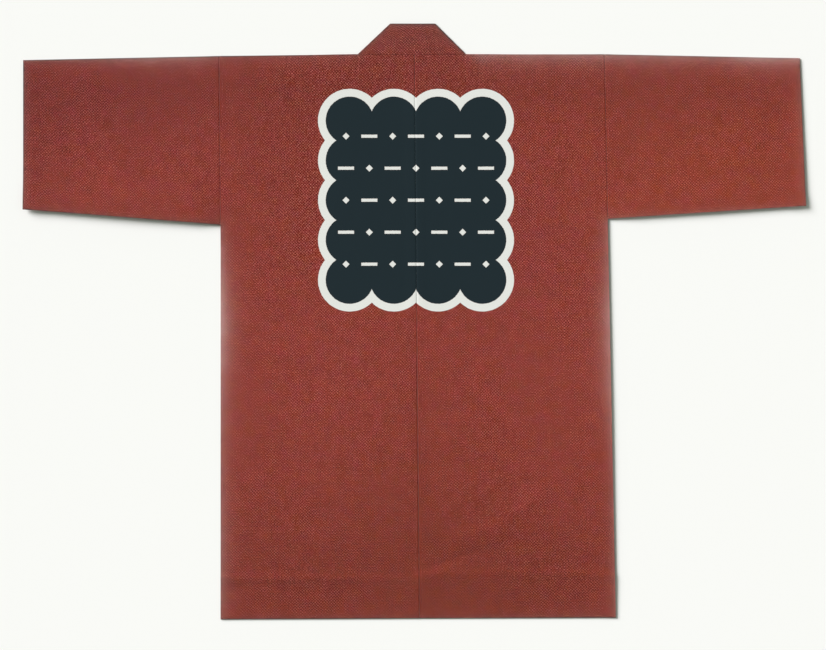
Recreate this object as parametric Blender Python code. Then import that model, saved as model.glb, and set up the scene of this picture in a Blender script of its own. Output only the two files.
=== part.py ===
"""A happi coat laid flat with its back up: two body lengths, two sleeves and a doubled collar band.

Metres, +Z up. X runs across the back from cuff to cuff, Y up the back from hem to collar, and the
coat lies on Z = 0 with the origin under the middle of its box. Each piece is one folded sheet of
cloth: rows and columns of points through the middle of the cloth, thickened to its wall.
"""

import math
from collections import namedtuple

import bmesh
import bpy
from mathutils import Vector

# Cloth
CLOTH = 0.0010
SEAM_GAP = 0.0003
LAYER = CLOTH + SEAM_GAP
DOUBLED = CLOTH + LAYER
RED = (0.235, 0.048, 0.034)
ROUGHNESS = 0.9

# The coat as it lies
COLLAR_TOP = 0.4466
HEM = -0.4455
NECK_SEAM = 0.4005
CENTRE_SEAM_TOP = 0.0
CENTRE_SEAM_HEM = 0.0075
HEM_TURN = 0.062
CUFF_TURN = 0.018
TURN_MARGIN = 0.002
TURN_EASE = 0.014

# Each half of the coat: distances from the middle of the box outwards, and heights up the back.
# The sleeve's top and low corners at the cuff and at the armhole, the side seam at the hem, the
# neck where the collar turns under, and the collar's upper corner.
Half = namedtuple(
    "Half",
    "side sign cuff_top cuff_top_y cuff_low cuff_low_y"
    " armhole_top armhole_top_y armhole_low armhole_low_y hem_x hem_y neck neck_y collar_point",
)
LEFT = Half(
    side="left",
    sign=-1,
    cuff_top=0.58725,
    cuff_top_y=0.39225,
    cuff_low=0.58725,
    cuff_low_y=0.1679,
    armhole_top=0.29325,
    armhole_top_y=0.3984,
    armhole_low=0.29100,
    armhole_low_y=0.1448,
    hem_x=0.29100,
    hem_y=-0.4470,
    neck=0.0847,
    neck_y=0.4017,
    collar_point=0.0367,
)
RIGHT = Half(
    side="right",
    sign=1,
    cuff_top=0.57825,
    cuff_top_y=0.39525,
    cuff_low=0.58725,
    cuff_low_y=0.1733,
    armhole_top=0.28500,
    armhole_top_y=0.4011,
    armhole_low=0.29010,
    armhole_low_y=0.1538,
    hem_x=0.30225,
    hem_y=-0.4444,
    neck=0.0761,
    neck_y=0.4026,
    collar_point=0.0313,
)

# The collar band: its two legs lie under the back and close up towards the hem
NECK_CLEAR = 0.0010
LEG_WIDTH_HEM = 0.052
LEG_EDGE_HEM = 0.010
LEG_SETTLED_Y = 0.385
OVER_LEGS = 0.110
OVER_LEGS_EASE = 0.050
NECK_HALF = 0.088
NECK_EASE_ACROSS = 0.050
NECK_EASE_DOWN = 0.030

# Steps of the meshes
FOLD_STEPS = 6
SIDE_COLUMNS = 11
NECK_COLUMNS = 5
LOW_BACK_ROWS = 26
HIGH_BACK_ROWS = 11
LOW_FRONT_ROWS = 6
HIGH_FRONT_ROWS = 3
SLEEVE_COLUMNS = 12
SLEEVE_BACK_ROWS = 11
SLEEVE_FRONT_ROWS = 4
STRIP_STATIONS = 3
LEG_STATIONS = 10

# The largest folds of the back, each a soft ridge from one end to the other
Fold = namedtuple("Fold", "name x0 y0 x1 y1 spread height")
FOLDS = [
    Fold("hem sweep, lower part", 0.015, -0.372, 0.113, -0.320, 0.022, 0.0022),
    Fold("hem sweep, upper part", 0.113, -0.320, 0.196, -0.253, 0.024, 0.0022),
    Fold("low crossing", -0.247, -0.236, 0.173, -0.232, 0.020, 0.0009),
    Fold("left armhole", -0.290, 0.152, -0.142, 0.156, 0.020, 0.0013),
    Fold("right armhole", 0.158, 0.154, 0.292, 0.150, 0.020, 0.0013),
    Fold("left sleeve", -0.530, 0.247, -0.410, 0.196, 0.020, 0.0018),
    Fold("right sleeve", 0.400, 0.262, 0.520, 0.248, 0.026, 0.0012),
    Fold("right shoulder", 0.218, 0.310, 0.240, 0.308, 0.030, 0.0014),
]


def mix(a, b, amount):
    return a + (b - a) * amount


def smooth(amount):
    """0 below 0, 1 above 1, and a soft step between them."""
    amount = min(max(amount, 0.0), 1.0)
    return amount * amount * (3 - 2 * amount)


def level(layers):
    """Height of the middle of a layer that has this many layers under it."""
    return CLOTH / 2 + layers * LAYER


def steps(count):
    """Fractions from 0 to 1, both ends included."""
    return [k / count for k in range(count + 1)]


def turn_angles():
    """Angles inside a half turn of the cloth, both ends left out."""
    return [math.pi * k / FOLD_STEPS for k in range(1, FOLD_STEPS)]


def relief(x, y):
    """How far the largest folds lift the back at this place."""
    lift = 0.0
    for fold in FOLDS:
        start = Vector((fold.x0, fold.y0))
        along = Vector((fold.x1, fold.y1)) - start
        offset = Vector((x, y)) - start
        share = min(max(offset.dot(along) / along.length_squared, 0.0), 1.0)
        away = (offset - along * share).length / fold.spread
        lift += fold.height * math.exp(-away * away)
    return lift


def seam_side(half, y):
    """Distance of the armhole and side seam from the middle at this height."""
    if y >= half.armhole_low_y:
        share = (y - half.armhole_low_y) / (half.armhole_top_y - half.armhole_low_y)
        return mix(half.armhole_low, half.armhole_top, share)
    share = (y - half.hem_y) / (half.armhole_low_y - half.hem_y)
    return mix(half.hem_x, half.armhole_low, share)


def seam_centre(half, y):
    """The same for the edge of this half at the centre back seam."""
    x = mix(CENTRE_SEAM_HEM, CENTRE_SEAM_TOP, (y - HEM) / (NECK_SEAM - HEM))
    return half.sign * x + SEAM_GAP / 2


def seam_collar(half, y):
    """The same for the seam between the front edge and the collar's leg."""
    share = (y - HEM) / (NECK_SEAM - HEM)
    return mix(LEG_EDGE_HEM + LEG_WIDTH_HEM, half.neck, share)


def back_height(x, y, hem_y):
    """Middle of the back's cloth over the front, the collar's legs and the turned hem."""
    on_legs = 1 - smooth((abs(x) - OVER_LEGS) / OVER_LEGS_EASE)
    on_turn = 1 - smooth((y - hem_y - HEM_TURN - TURN_MARGIN) / TURN_EASE)
    at_neck = 1 - smooth((NECK_SEAM - SEAM_GAP - y) / NECK_EASE_DOWN)
    at_neck *= 1 - smooth((abs(x) - NECK_HALF) / NECK_EASE_ACROSS)
    height = mix(level(1), level(2), on_legs)
    height = mix(height, level(3), on_turn)
    height = mix(height, level(2.5), at_neck)
    return height + relief(x, y) * (1 - on_turn)


def sheet_object(name, columns):
    """Makes a cloth sheet through columns of points, which are None where the maker cuts it away."""
    across = len(columns) - 1
    along = len(columns[0]) - 1
    mesh = bpy.data.meshes.new(name)
    bm = bmesh.new()
    bmesh.ops.create_grid(bm, x_segments=across, y_segments=along, size=1.0)
    cut_away = []
    for vert in bm.verts:
        column = round((vert.co.x + 1) / 2 * across)
        row = round((vert.co.y + 1) / 2 * along)
        place = columns[column][row]
        if place is None:
            cut_away.append(vert)
        else:
            vert.co = place
    bmesh.ops.delete(bm, geom=cut_away, context="VERTS")
    bm.to_mesh(mesh)
    bm.free()
    mesh.shade_smooth()
    mesh.materials.append(cloth_material(name))
    piece = bpy.data.objects.new(name, mesh)
    bpy.context.scene.collection.objects.link(piece)
    thicken = piece.modifiers.new("wall", "SOLIDIFY")
    thicken.thickness = CLOTH
    thicken.offset = 0.0
    thicken.use_even_offset = True
    thicken.use_quality_normals = True


def cloth_material(name):
    material = bpy.data.materials.new(name + "_cotton")
    material.use_nodes = True
    shader = material.node_tree.nodes["Principled BSDF"]
    shader.inputs["Base Color"].default_value = (*RED, 1.0)
    shader.inputs["Roughness"].default_value = ROUGHNESS
    shader.inputs["Metallic"].default_value = 0.0
    return material


def body_column(half, share, neck_share):
    """One strip of a body length: back hem, up the back, over the shoulder and down to the front hem."""
    in_front = share <= neck_share
    share_front = min(share / neck_share, 1.0)
    hem_y = mix(half.hem_y, HEM, share)
    shoulder = mix(half.armhole_top_y - DOUBLED / 2, NECK_SEAM - SEAM_GAP, share_front)

    def back(y):
        return half.sign * mix(seam_side(half, y), seam_centre(half, y), share)

    def front(y):
        edge = seam_collar(half, y) + NECK_CLEAR
        return half.sign * mix(seam_side(half, y), edge, share_front)

    # The back: its turned hem, then up to where the shoulder starts to turn
    bottom = hem_y + DOUBLED / 2
    places = [(back(y), y, level(2)) for y in (hem_y + HEM_TURN, bottom)]
    for angle in turn_angles():
        y = bottom - LAYER / 2 * math.sin(angle)
        places.append((back(y), y, level(2.5) - LAYER / 2 * math.cos(angle)))
    first = hem_y + HEM_TURN + TURN_MARGIN
    eased = first + TURN_EASE
    armpit = half.armhole_low_y
    rows = [bottom, first]
    rows += [mix(eased, armpit, share_up) for share_up in steps(LOW_BACK_ROWS)]
    rows += [mix(armpit, shoulder, share_up) for share_up in steps(HIGH_BACK_ROWS)[1:]]
    for y in rows:
        places.append((back(y), y, back_height(back(y), y, hem_y)))
    if not in_front:
        front_rows = HIGH_FRONT_ROWS + LOW_FRONT_ROWS + 1
        return places + [None] * (front_rows + 2 * len(turn_angles()) + 2)

    # Over the shoulder, down the front, and its turned hem
    x, y, top = places[-1]
    turn = (top - level(0)) / 2
    for angle in turn_angles():
        places.append((x, y + turn * math.sin(angle), level(0) + turn * (1 + math.cos(angle))))
    rows = [mix(shoulder, armpit, share_down) for share_down in steps(HIGH_FRONT_ROWS)]
    rows += [mix(armpit, bottom, share_down) for share_down in steps(LOW_FRONT_ROWS)[1:]]
    places += [(front(y), y, level(0)) for y in rows]
    for angle in turn_angles():
        y = bottom - LAYER / 2 * math.sin(angle)
        places.append((front(y), y, level(0.5) - LAYER / 2 * math.cos(angle)))
    places += [(front(y), y, level(1)) for y in (bottom, hem_y + HEM_TURN)]
    return places


def make_body(half):
    """One length of cloth, folded at the shoulder, its front cut away inside the collar seam."""
    side = seam_side(half, NECK_SEAM)
    neck_share = (side - half.neck - NECK_CLEAR) / (side - seam_centre(half, NECK_SEAM))
    shares = [neck_share * share for share in steps(SIDE_COLUMNS)]
    shares += [mix(neck_share, 1.0, share) for share in steps(NECK_COLUMNS)[1:]]
    columns = [body_column(half, share, neck_share) for share in shares]
    sheet_object("body_" + half.side, columns)


def sleeve_column(half, share, back_layers, front_layers, outer_turn, lifted):
    """One strip round a sleeve: up its back from the seam, over the top fold and down its front."""
    top_x = mix(half.armhole_top + SEAM_GAP, half.cuff_top, share)
    low_x = mix(half.armhole_low + SEAM_GAP, half.cuff_low, share)
    outer_y = mix(half.armhole_top_y, half.cuff_top_y, share)
    low_y = mix(half.armhole_low_y, half.cuff_low_y, share)

    def place(y):
        return half.sign * mix(low_x, top_x, (y - low_y) / (outer_y - low_y))

    def height(y):
        return level(back_layers) + relief(place(y), y) * lifted

    top = outer_y - outer_turn - CLOTH / 2
    places = []
    for share_up in steps(SLEEVE_BACK_ROWS):
        y = mix(low_y, top, share_up)
        places.append((place(y), y, height(y)))
    turn = (places[-1][2] - level(front_layers)) / 2
    for angle in turn_angles():
        y = top + turn * math.sin(angle)
        places.append((place(y), y, level(front_layers) + turn * (1 + math.cos(angle))))
    for share_down in steps(SLEEVE_FRONT_ROWS):
        y = mix(top, low_y, share_down)
        places.append((place(y), y, level(front_layers)))
    return places


def make_sleeve(half):
    """A sleeve: one piece folded along its top, its cuff turned in, its seam underneath."""
    length = half.cuff_low - half.armhole_low
    flat_end = 1 - (CUFF_TURN + TURN_MARGIN) / length
    ease_end = flat_end - TURN_EASE / length
    fold_start = 1 - DOUBLED / 2 / length
    wide_turn = (level(3) - level(0)) / 2
    columns = []
    for share in steps(SLEEVE_COLUMNS):
        along = share * ease_end
        columns.append(sleeve_column(half, along, 1, 0, LAYER / 2, 1.0))
    for along in (flat_end, fold_start):
        columns.append(sleeve_column(half, along, 3, 0, wide_turn, 0.0))
    for angle in turn_angles():
        along = fold_start + LAYER / 2 * math.sin(angle) / length
        raised = 0.5 * math.cos(angle)
        columns.append(sleeve_column(half, along, 2.5 + raised, 0.5 - raised, wide_turn, 0.0))
    for along in (fold_start, 1 - CUFF_TURN / length):
        columns.append(sleeve_column(half, along, 2, 1, wide_turn, 0.0))
    sheet_object("sleeve_" + half.side, columns)


# A place along the collar band: the middle of its seam edge and of its free edge, and its face's way
Station = namedtuple("Station", "seam edge face")


def mitre_line(half):
    """Where the band's middle folds over beside the neck: its two ends, its way and the way out."""
    corner = Vector((half.neck, half.neck_y, 0.0))
    point = Vector((half.collar_point, COLLAR_TOP, 0.0))
    along = (point - corner).normalized()
    outwards = Vector((along.y, -along.x, 0.0))
    inset = outwards * (LAYER + DOUBLED / 2)
    edge = point - inset
    seam = corner - inset
    seam += along * ((NECK_SEAM - seam.y) / along.y)
    return seam, edge, along, outwards


def collar_half(half):
    """Stations from beside the centre back, over the mitre at the shoulder and down to the hem."""
    seam, edge, along, outwards = mitre_line(half)
    up = Vector((0.0, 0.0, 1.0))
    stations = []
    for share in steps(STRIP_STATIONS)[1:-1]:
        seam_place = Vector((seam.x * share, NECK_SEAM, level(2.5)))
        free_place = Vector((edge.x * share, COLLAR_TOP, level(2.5)))
        stations.append(Station(seam_place, free_place, up))
    for angle in [0.0] + turn_angles() + [math.pi]:
        height = level(1.5) + LAYER * math.cos(angle)
        shift = outwards * (LAYER * math.sin(angle)) + up * height
        slide = along * (LAYER * (math.pi / 2 - angle))
        face = outwards * math.sin(angle) + up * math.cos(angle)
        stations.append(Station(seam + shift, edge + shift + slide, face))
    for share in steps(LEG_STATIONS):
        y = mix(LEG_SETTLED_Y, HEM, share)
        edge_x = mix(half.collar_point, LEG_EDGE_HEM, (NECK_SEAM - y) / (NECK_SEAM - HEM))
        seam_place = Vector((seam_collar(half, y), y, level(0.5)))
        stations.append(Station(seam_place, Vector((edge_x, y, level(0.5))), -up))
    return [mirror_station(half.sign, station) for station in stations]


def mirror_station(sign, station):
    return Station(*(Vector((sign * place.x, place.y, place.z)) for place in station))


def band_section(station):
    """Points round the doubled band at a station: one layer, the fold at its free edge, the other."""
    across = station.edge - station.seam
    flat = across.length - DOUBLED / 2
    across.normalize()
    apart = station.face * (LAYER / 2)
    places = [station.seam + across * (flat * share) + apart for share in steps(2)]
    for angle in turn_angles():
        out = across * (flat + LAYER / 2 * math.sin(angle))
        places.append(station.seam + out + apart * math.cos(angle))
    places += [station.seam + across * (flat * share) - apart for share in steps(2)[::-1]]
    return places


def make_collar():
    """One band, doubled along its free edge, from hem to hem round the neck, folded at each mitre."""
    left = collar_half(LEFT)
    right = collar_half(RIGHT)
    middle = Station(
        Vector((0.0, NECK_SEAM, level(2.5))),
        Vector((0.0, COLLAR_TOP, level(2.5))),
        Vector((0.0, 0.0, 1.0)),
    )
    stations = left[::-1] + [middle] + right
    sheet_object("collar", [band_section(station) for station in stations])


def main():
    for thing in list(bpy.data.objects):
        bpy.data.objects.remove(thing, do_unlink=True)
    for half in (LEFT, RIGHT):
        make_body(half)
        make_sleeve(half)
    make_collar()


main()
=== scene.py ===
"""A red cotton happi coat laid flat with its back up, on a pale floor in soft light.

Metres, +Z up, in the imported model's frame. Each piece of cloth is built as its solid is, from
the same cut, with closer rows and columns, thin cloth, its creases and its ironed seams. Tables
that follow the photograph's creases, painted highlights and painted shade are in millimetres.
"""

import math
from collections import namedtuple

import bmesh
import bpy
import numpy as np
from mathutils import Matrix, Vector


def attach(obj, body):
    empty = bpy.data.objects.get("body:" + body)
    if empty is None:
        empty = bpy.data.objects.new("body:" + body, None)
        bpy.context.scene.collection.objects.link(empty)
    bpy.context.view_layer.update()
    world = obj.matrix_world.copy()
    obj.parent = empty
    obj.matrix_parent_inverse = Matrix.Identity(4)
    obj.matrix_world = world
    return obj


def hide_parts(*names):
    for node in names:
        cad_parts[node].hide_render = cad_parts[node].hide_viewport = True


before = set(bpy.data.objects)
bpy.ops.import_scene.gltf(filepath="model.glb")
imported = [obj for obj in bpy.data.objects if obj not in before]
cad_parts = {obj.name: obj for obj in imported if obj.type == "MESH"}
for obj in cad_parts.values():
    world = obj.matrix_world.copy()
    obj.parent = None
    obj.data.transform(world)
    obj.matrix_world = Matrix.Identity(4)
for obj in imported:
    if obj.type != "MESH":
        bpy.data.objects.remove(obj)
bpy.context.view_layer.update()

MM = 0.001

# Cloth
CLOTH = 0.00048
AIR = 0.00005
SEAT = 0.00015
LAYER = CLOTH + AIR
DOUBLED = CLOTH + LAYER
SEAM_GAP = 0.00025
NECK_GAP = 0.0001
NECK_RELIEF = 0.22

# The coat as it lies
COLLAR_TOP = 0.4470
HEM = -0.4455
NECK_SEAM = 0.4005
CENTRE_SEAM_TOP = 0.0
CENTRE_SEAM_HEM = 0.0075
HEM_TURN = 0.062
CUFF_TURN = 0.018
TURN_MARGIN = 0.0005
HEM_TURN_EASE = 0.008
CUFF_TURN_EASE = 0.024

# Each half of the coat: distances from the middle of the box outwards, and heights up the back
Half = namedtuple(
    "Half",
    "side sign cuff_top cuff_top_y cuff_low cuff_low_y"
    " armhole_top armhole_top_y armhole_low armhole_low_y hem_x hem_y neck neck_y collar_point",
)
LEFT = Half(
    side="left",
    sign=-1,
    cuff_top=0.58725,
    cuff_top_y=0.39225,
    cuff_low=0.58725,
    cuff_low_y=0.1679,
    armhole_top=0.29325,
    armhole_top_y=0.3984,
    armhole_low=0.29100,
    armhole_low_y=0.1448,
    hem_x=0.29100,
    hem_y=-0.4470,
    neck=0.0847,
    neck_y=0.4017,
    collar_point=0.0367,
)
RIGHT = Half(
    side="right",
    sign=1,
    cuff_top=0.57825,
    cuff_top_y=0.39525,
    cuff_low=0.58725,
    cuff_low_y=0.1733,
    armhole_top=0.28500,
    armhole_top_y=0.4011,
    armhole_low=0.29010,
    armhole_low_y=0.1538,
    hem_x=0.30225,
    hem_y=-0.4444,
    neck=0.0761,
    neck_y=0.4026,
    collar_point=0.0313,
)

# The collar band, whose legs lie under the back and close up towards the hem
NECK_CLEAR = 0.0005
LEG_WIDTH_HEM = 0.052
LEG_EDGE_HEM = 0.010
LEG_SETTLED_Y = 0.385
OVER_LEGS = 0.110
OVER_LEGS_EASE = 0.050
NECK_HALF = 0.088
NECK_EASE_ACROSS = 0.050
NECK_EASE_DOWN = 0.030
NECK_EASE_ALONG = 0.004
BAND_WIDTH = 0.055

# How the cloth lies: air under the back, pressed edges, seams and their turnings
LOFT = 0.0011
LOFT_REACH = 0.045
LESS_AIR_ON_LEGS = 0.00042
BROAD_SWELL = 0.00024
SMALL_SWELL = 0.00003
CREASES_AT_EDGE = 0.35
CREASES_ON_TURN = 0.3
ARMPIT_EASE = 0.012
SIDE_EASE = 0.0045
FRONT_LOFT = 0.00014
FRONT_BROAD_SWELL = 0.00007
FRONT_SMALL_SWELL = 0.00002
FRONT_HEM_EASE = 0.02
SEAM_DIP = 0.00030
SEAM_DIP_WIDTH = 0.0012
ALLOWANCE = 0.013
ALLOWANCE_HEIGHT = 0.00016
ALLOWANCE_FULL = 0.7
ALLOWANCE_EASE = 0.6
FLATTER_ON_TURN = 0.7
PUCKER = 0.00005
PUCKER_REACH = 0.006

# Blind stitches along the turned hems
STITCH_PITCH = 0.0115
STITCH_LENGTH = 0.0024
STITCH_INSET = 0.0035
THREAD = 0.00026
HEM_STITCH_END = 0.009
STITCH_SWING = 0.12
STITCH_LENGTHS = (0.8, 1.15)
ACROSS = 0.0
UPWARDS = math.pi / 2

# Steps of the meshes
BESIDE_SEAM = (0.0004, 0.0009, 0.0016, 0.0026)
FOLD_STEPS = 6
STEP = 0.0034
FRONT_STEP = 0.009
TURN_STEP = 0.006
COLLAR_STEP = 0.0045
MITRE_STEPS = 10
BAND_COLUMNS = 9

# The cloth's weave and dye
PAIRS_PER_METRE = 466.0
DYE = (0.219, 0.0342, 0.0232)
TOWARDS_ROSE = (0.044, -0.0080, 0.0)
TOWARDS_BROWN = (0.0, 0.0070, -0.0300)
# Pale pink of the painted highlight along the rounded edges
HIGHLIGHT_PINK = (0.88, 0.67, 0.63, 1.0)
SLUB_TONE = 0.38
CHECK_CONTRAST = (0.198, 0.182, 0.173)
EYE_GAMMA = 2.2
COTTON_ROUGHNESS = 0.92
THREAD_DARK = (0.170, 0.026, 0.018, 1.0)
THREAD_LIGHT = (0.270, 0.046, 0.032, 1.0)

# The print on the back: a scalloped frame round a lattice of short bars and small diamonds
PRINT_X = 0.00225
PRINT_Y = 0.182
LOBE = 0.036
LOBES_X = 0.0995
LOBES_Y = 0.1195
LOBE_PITCH_X = LOBES_X * 2 / 3
LOBE_PITCH_Y = LOBES_Y * 2 / 4
PRINT_BORDER = 0.0115
BAR_PITCH = 0.070
ROW_PITCH = 0.048
BAR_HALF = 0.012
BAR_THICK = 0.0023
DIAMOND = 0.0052
INK_EDGE = 0.0005
LATTICE_PAST_LOBES = 0.021
LATTICE_UP = 0.110
INK = (0.0088, 0.0192, 0.0240, 1.0)
PRINT_WHITE = (0.720, 0.738, 0.695, 1.0)

# Floor, light and camera
FLOOR_HALF = 20.0
FLOOR_DARK = (0.872, 0.880, 0.846, 1.0)
FLOOR_LIGHT = (0.892, 0.900, 0.872, 1.0)
KEY_STRENGTH = 4.86
KEY_COLOUR = (1.04, 1.0, 1.04)
KEY_SOFTNESS = 34.0
KEY_ELEVATION = 30.0
KEY_SIDE = 34.0
SKY_STRENGTH = 0.30
SKY_COLOUR = (0.90, 1.0, 0.89, 1.0)
HORIZON_STRENGTH = 0.75
HORIZON_REACH = 0.22
VIEW_X = -0.00225
VIEW_Y = -0.00525
VIEW_HEIGHT = 4.133
VIEW_LENS = 120.0

# Creases of the back: the stops of each line in x, y, height and width, in millimetres
BACK_CREASES = {
    "hem sweep": [
        (4, -380, 0.5, 7), (31, -377, 0.8, 7), (53, -367, 0.9, 7), (91, -354, 0.5, 7),
        (110, -346, 0, 7),
    ],
    "between the sweeps": [
        (45, -361, 0, 7), (61, -356, -0.5, 7), (91, -344, -0.7, 7), (121, -333, -0.7, 7),
        (150, -317, -0.3, 7), (165, -305, 0, 7),
    ],
    "upper sweep": [
        (40, -325, 0, 8), (61, -320, 0.5, 8), (91, -311, 0.7, 8), (128, -301, 0.8, 9),
        (158, -279, 0.8, 10), (199, -245, 0.5, 10), (226, -211, 0.3, 9), (235, -195, 0, 9),
    ],
    "low crossing": [
        (-247, -233, 0, 6), (-160, -236, 0.35, 7), (-30, -230, 0.22, 6), (60, -236, 0.38, 7),
        (173, -231, 0, 6),
    ],
    "above the low crossing": [(-150, -214, 0, 6), (-90, -222, -0.21, 7), (-20, -217, 0, 6)],
    "left waist": [(-134, -52, 0, 5), (-84, -48, 0.32, 6), (-22, -53, 0, 5)],
    "left flank": [(-240, -120, 0, 5), (-224, -123, 0.35, 6), (-206, -121, 0, 5)],
    "right waist": [(156, 19, 0, 5), (190, 15, 0.35, 6), (220, 18, 0, 5)],
    "left armhole": [
        (-288, 151, 0, 7), (-236, 155, 0.56, 8), (-180, 148, 0.32, 7), (-140, 146, 0, 6),
    ],
    "right armhole": [(158, 146, 0, 6), (212, 152, 0.32, 7), (262, 148, 0.56, 8), (288, 152, 0, 7)],
    "left upright": [(-163, 6, 0, 4), (-162, -20, 0.29, 5), (-164, -46, 0, 4)],
    "left upright, outer": [(-198, -56, 0, 4), (-200, -100, 0.29, 5), (-197, -150, 0, 4)],
    "left upright, inner": [(-121, -100, 0, 4), (-123, -160, 0.32, 5), (-120, -232, 0, 4)],
    "right upright": [(104, -33, 0, 4), (103, -64, 0.26, 5), (105, -97, 0, 4)],
    "right upright, outer": [(217, -71, 0, 4), (219, -100, 0.26, 5), (217, -135, 0, 4)],
    "right hollow": [(158, -106, 0, 6), (170, -114, -0.48, 7), (184, -124, 0, 6)],
    "right shoulder": [(206, 318, 0, 14), (229, 310, 0.64, 17), (250, 300, 0, 14)],
    "low left": [(-232, -318, 0, 7), (-180, -312, 0.32, 8), (-118, -322, 0, 7)],
    "low right": [(150, -388, 0, 5), (196, -382, -0.26, 6), (250, -390, 0, 5)],
    "left sleeve slant": [
        (-556, 226, 0, 7), (-500, 203, -0.56, 8), (-450, 184, -0.48, 8), (-410, 168, 0, 7),
    ],
    "left sleeve ridge": [(-470, 204, 0, 7), (-448, 186, 0.64, 8), (-424, 168, 0, 7)],
    "left sleeve upright": [(-381, 292, 0, 4), (-382, 235, 0.32, 5), (-380, 172, 0, 4)],
    "left sleeve upright, inner": [(-334, 288, 0, 4), (-335, 230, 0.29, 5), (-333, 176, 0, 4)],
    "right sleeve slant": [(392, 268, 0, 9), (450, 256, 0.48, 11), (524, 246, 0, 9)],
    "right sleeve upright": [(356, 300, 0, 4), (355, 240, 0.26, 5), (357, 190, 0, 4)],
}

# The back over the folded edge of the hem's turning
HEM_RIDGE = {
    "left": [(-290, -384, 0.5, 5), (-150, -383, 0.8, 5), (7, -384, 0.6, 5)],
    "right": [(8, -377, 0.5, 5), (160, -376, 0.7, 5), (301, -377, 0.4, 5)],
}

# Painted light and shade in lines at the hem's turning and centre seam: x, y, strength and width
PAINTED_LIGHT_AND_SHADE_LINES = {
    "left, paler": [
        (-291, -380, 0.02, 4), (-160, -380, 0.05, 4), (-60, -380, 0.02, 4), (7, -381, 0.04, 4),
    ],
    "left, darker": [
        (-291, -391, -0.13, 6), (-180, -391, -0.10, 6), (-90, -390, -0.07, 5), (-20, -390, 0, 5),
    ],
    "right, paler": [
        (8, -375, 0.01, 4), (130, -373, 0.0, 4), (220, -374, 0.05, 4), (301, -374, 0.03, 4),
    ],
    "right, darker": [
        (120, -382, 0, 5), (170, -382, -0.06, 5), (240, -383, -0.08, 5), (301, -384, -0.08, 5),
    ],
    "beside the centre seam": [
        (1, 0, -0.02, 12), (3, -60, -0.05, 12), (5, -240, -0.06, 12), (7, -330, -0.03, 12),
    ],
}

# Painted light and shade: how much paler the cloth is per millimetre a crease stands up
CREST_PAINTED_LIGHT = 0.14

# Creases of the front, as for the back: it lies on the floor, so it lifts only
FRONT_CREASES = {
    "left chest": [(-250, 268, 0, 8), (-190, 240, 0.4, 9), (-120, 226, 0, 8)],
    "left waist": [(-276, 20, 0, 7), (-210, 4, 0.35, 8), (-140, 12, 0, 7)],
    "left skirt": [(-230, -150, 0, 9), (-180, -230, 0.4, 10), (-120, -300, 0, 9)],
    "left upright": [(-110, 60, 0, 5), (-112, -40, 0.25, 6), (-108, -130, 0, 5)],
    "right chest": [(128, 262, 0, 8), (186, 250, 0.35, 9), (262, 216, 0, 8)],
    "right waist": [(130, -20, 0, 7), (204, -36, 0.4, 8), (280, -24, 0, 7)],
    "right skirt": [(118, -200, 0, 9), (160, -270, 0.3, 10), (232, -330, 0, 9)],
    "right upright": [(230, 90, 0, 5), (232, 20, 0.25, 6), (229, -60, 0, 5)],
    "left sleeve": [(-520, 300, 0, 8), (-450, 270, 0.35, 9), (-380, 262, 0, 8)],
    "left sleeve, low": [(-430, 200, 0, 7), (-380, 188, 0.3, 8), (-320, 192, 0, 7)],
    "right sleeve": [(372, 320, 0, 8), (440, 290, 0.35, 9), (530, 270, 0, 8)],
    "right sleeve, low": [(330, 214, 0, 7), (400, 196, 0.3, 8), (470, 202, 0, 7)],
}

# Edges that stand a little off the floor: x, y, height and reach
RAISED_EDGES = {
    "left sleeve": [
        (-587, 168, 6.4, 36), (-430, 157, 7.8, 44), (-330, 148, 6.6, 38), (-291, 145, 2.4, 22),
    ],
    "right sleeve": [
        (290, 154, 2.0, 22), (330, 156, 4.6, 34), (440, 163, 5.4, 40), (587, 173, 4.6, 34),
    ],
    "right side": [
        (290, 146, 2.0, 22), (293, 60, 2.2, 30), (297, -150, 2.6, 32), (301, -380, 2.0, 28),
        (302, -444, 0.5, 20),
    ],
    "right cuff": [(586, 182, 3.0, 20), (583, 280, 1.7, 18), (579, 385, 0.7, 14)],
}

# Painted highlight: paler edges where the cloth rounds over: x, y, strength and reach
PAINTED_EDGE_HIGHLIGHTS = {
    "left side": [
        (-291, 140, 0.10, 7), (-291, 60, 0.25, 9), (-291, 10, 0.37, 10), (-291, -40, 0.29, 10),
        (-291, -100, 0.18, 9), (-291, -200, 0.12, 8), (-291, -350, 0.14, 8), (-291, -446, 0.11, 7),
    ],
    "right side": [
        (290, 148, 0.10, 7), (291, 90, 0.12, 8), (292, 10, 0.23, 9), (294, -100, 0.17, 9),
        (297, -200, 0.10, 5), (301, -350, 0.11, 5), (302, -444, 0.10, 5),
    ],
    "right shoulder": [
        (78, 402, 0.08, 6), (100, 402, 0.18, 10), (285, 401, 0.18, 10), (460, 398, 0.17, 9),
        (500, 397, 0.28, 9), (578, 395, 0.28, 9),
    ],
    "left shoulder": [
        (-85, 402, 0.08, 6), (-277, 399, 0.08, 6), (-330, 397, 0.17, 8), (-400, 395, 0.17, 8),
        (-450, 394, 0.14, 6), (-540, 393, 0.11, 4), (-587, 392, 0.11, 4),
    ],
    "left cuff": [(-587, 392, 0.09, 4), (-587, 168, 0.07, 4)],
    "right cuff": [(578, 395, 0.08, 5), (587, 173, 0.06, 5)],
    "left sleeve": [(-587, 168, 0.05, 4), (-291, 145, 0.05, 4)],
    "right sleeve": [(587, 173, 0.07, 4), (290, 154, 0.07, 4)],
    "collar": [(-85, 402, 0.05, 5), (-37, 446, 0.06, 6), (31, 446, 0.06, 6), (76, 403, 0.05, 5)],
    "collar, middle": [(-48, 424, 0.018, 22), (42, 424, 0.018, 22)],
    "hem": [(-291, -447, 0.04, 3), (302, -444, 0.05, 4)],
}
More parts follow.
